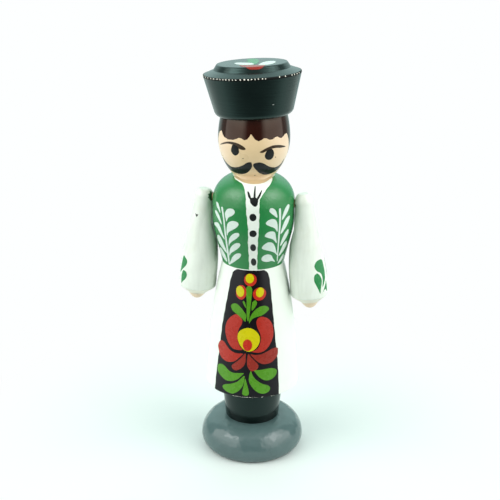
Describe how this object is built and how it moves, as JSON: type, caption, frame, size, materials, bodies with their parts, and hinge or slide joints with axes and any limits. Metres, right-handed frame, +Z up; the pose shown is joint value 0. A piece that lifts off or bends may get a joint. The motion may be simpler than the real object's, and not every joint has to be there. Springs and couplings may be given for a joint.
{
  "type": "incense smoker figure",
  "caption": "Turned and painted wooden folk figure that burns an incense cone: the coat lifts off the boots and pan, and the arms swing on shoulder pegs.",
  "frame": {"origin": "centre of the base's flat underside", "axes": "+Z up along the turning axis, the figure faces -Y and its left arm is on +X"},
  "size_m": [0.0758, 0.0534, 0.2009],
  "materials": {
    "base_grey": "gloss blue-grey lacquer over turned wood",
    "boots_black": "gloss black lacquer over turned wood",
    "bare_wood": "bare beech, glued in",
    "pan_brass": "pressed sheet brass, dulled by smoke",
    "nail_steel": "plain steel nail",
    "coat_white": "gloss white lacquer with painted green vest and black flowered apron",
    "face_skin": "satin skin-coloured paint with dark brown gloss hair and a painted face",
    "hat_black": "gloss black lacquer, chipped along the rim",
    "sleeve_white": "gloss white lacquer over whittled wood, skin-coloured tip"
  },
  "bodies": {
    "base": {"base_foot": "base_grey", "boots_dowel": "bare_wood", "boots": "boots_black", "incense_pan": "pan_brass", "pan_nail": "nail_steel"},
    "coat": {"coat": "coat_white", "head": "face_skin", "hat_dowel": "bare_wood", "hat": "hat_black", "left_shoulder_peg": "bare_wood", "right_shoulder_peg": "bare_wood"},
    "left_arm": {"left_arm": "sleeve_white"},
    "right_arm": {"right_arm": "sleeve_white"}
  },
  "joints": [
    {"name": "coat_lift", "type": "slide", "parent": "base", "child": "coat", "axis": [0, 0, 1], "range_m": [0, 0.075]},
    {"name": "left_arm_swing", "type": "hinge", "parent": "coat", "child": "left_arm", "pos_m": [0.02325, 0, 0.1326], "axis": [-1, 0, 0], "range_deg": [-150, 150]},
    {"name": "right_arm_swing", "type": "hinge", "parent": "coat", "child": "right_arm", "pos_m": [-0.02325, 0, 0.1343], "axis": [-1, 0, 0], "range_deg": [-150, 150]}
  ]
}
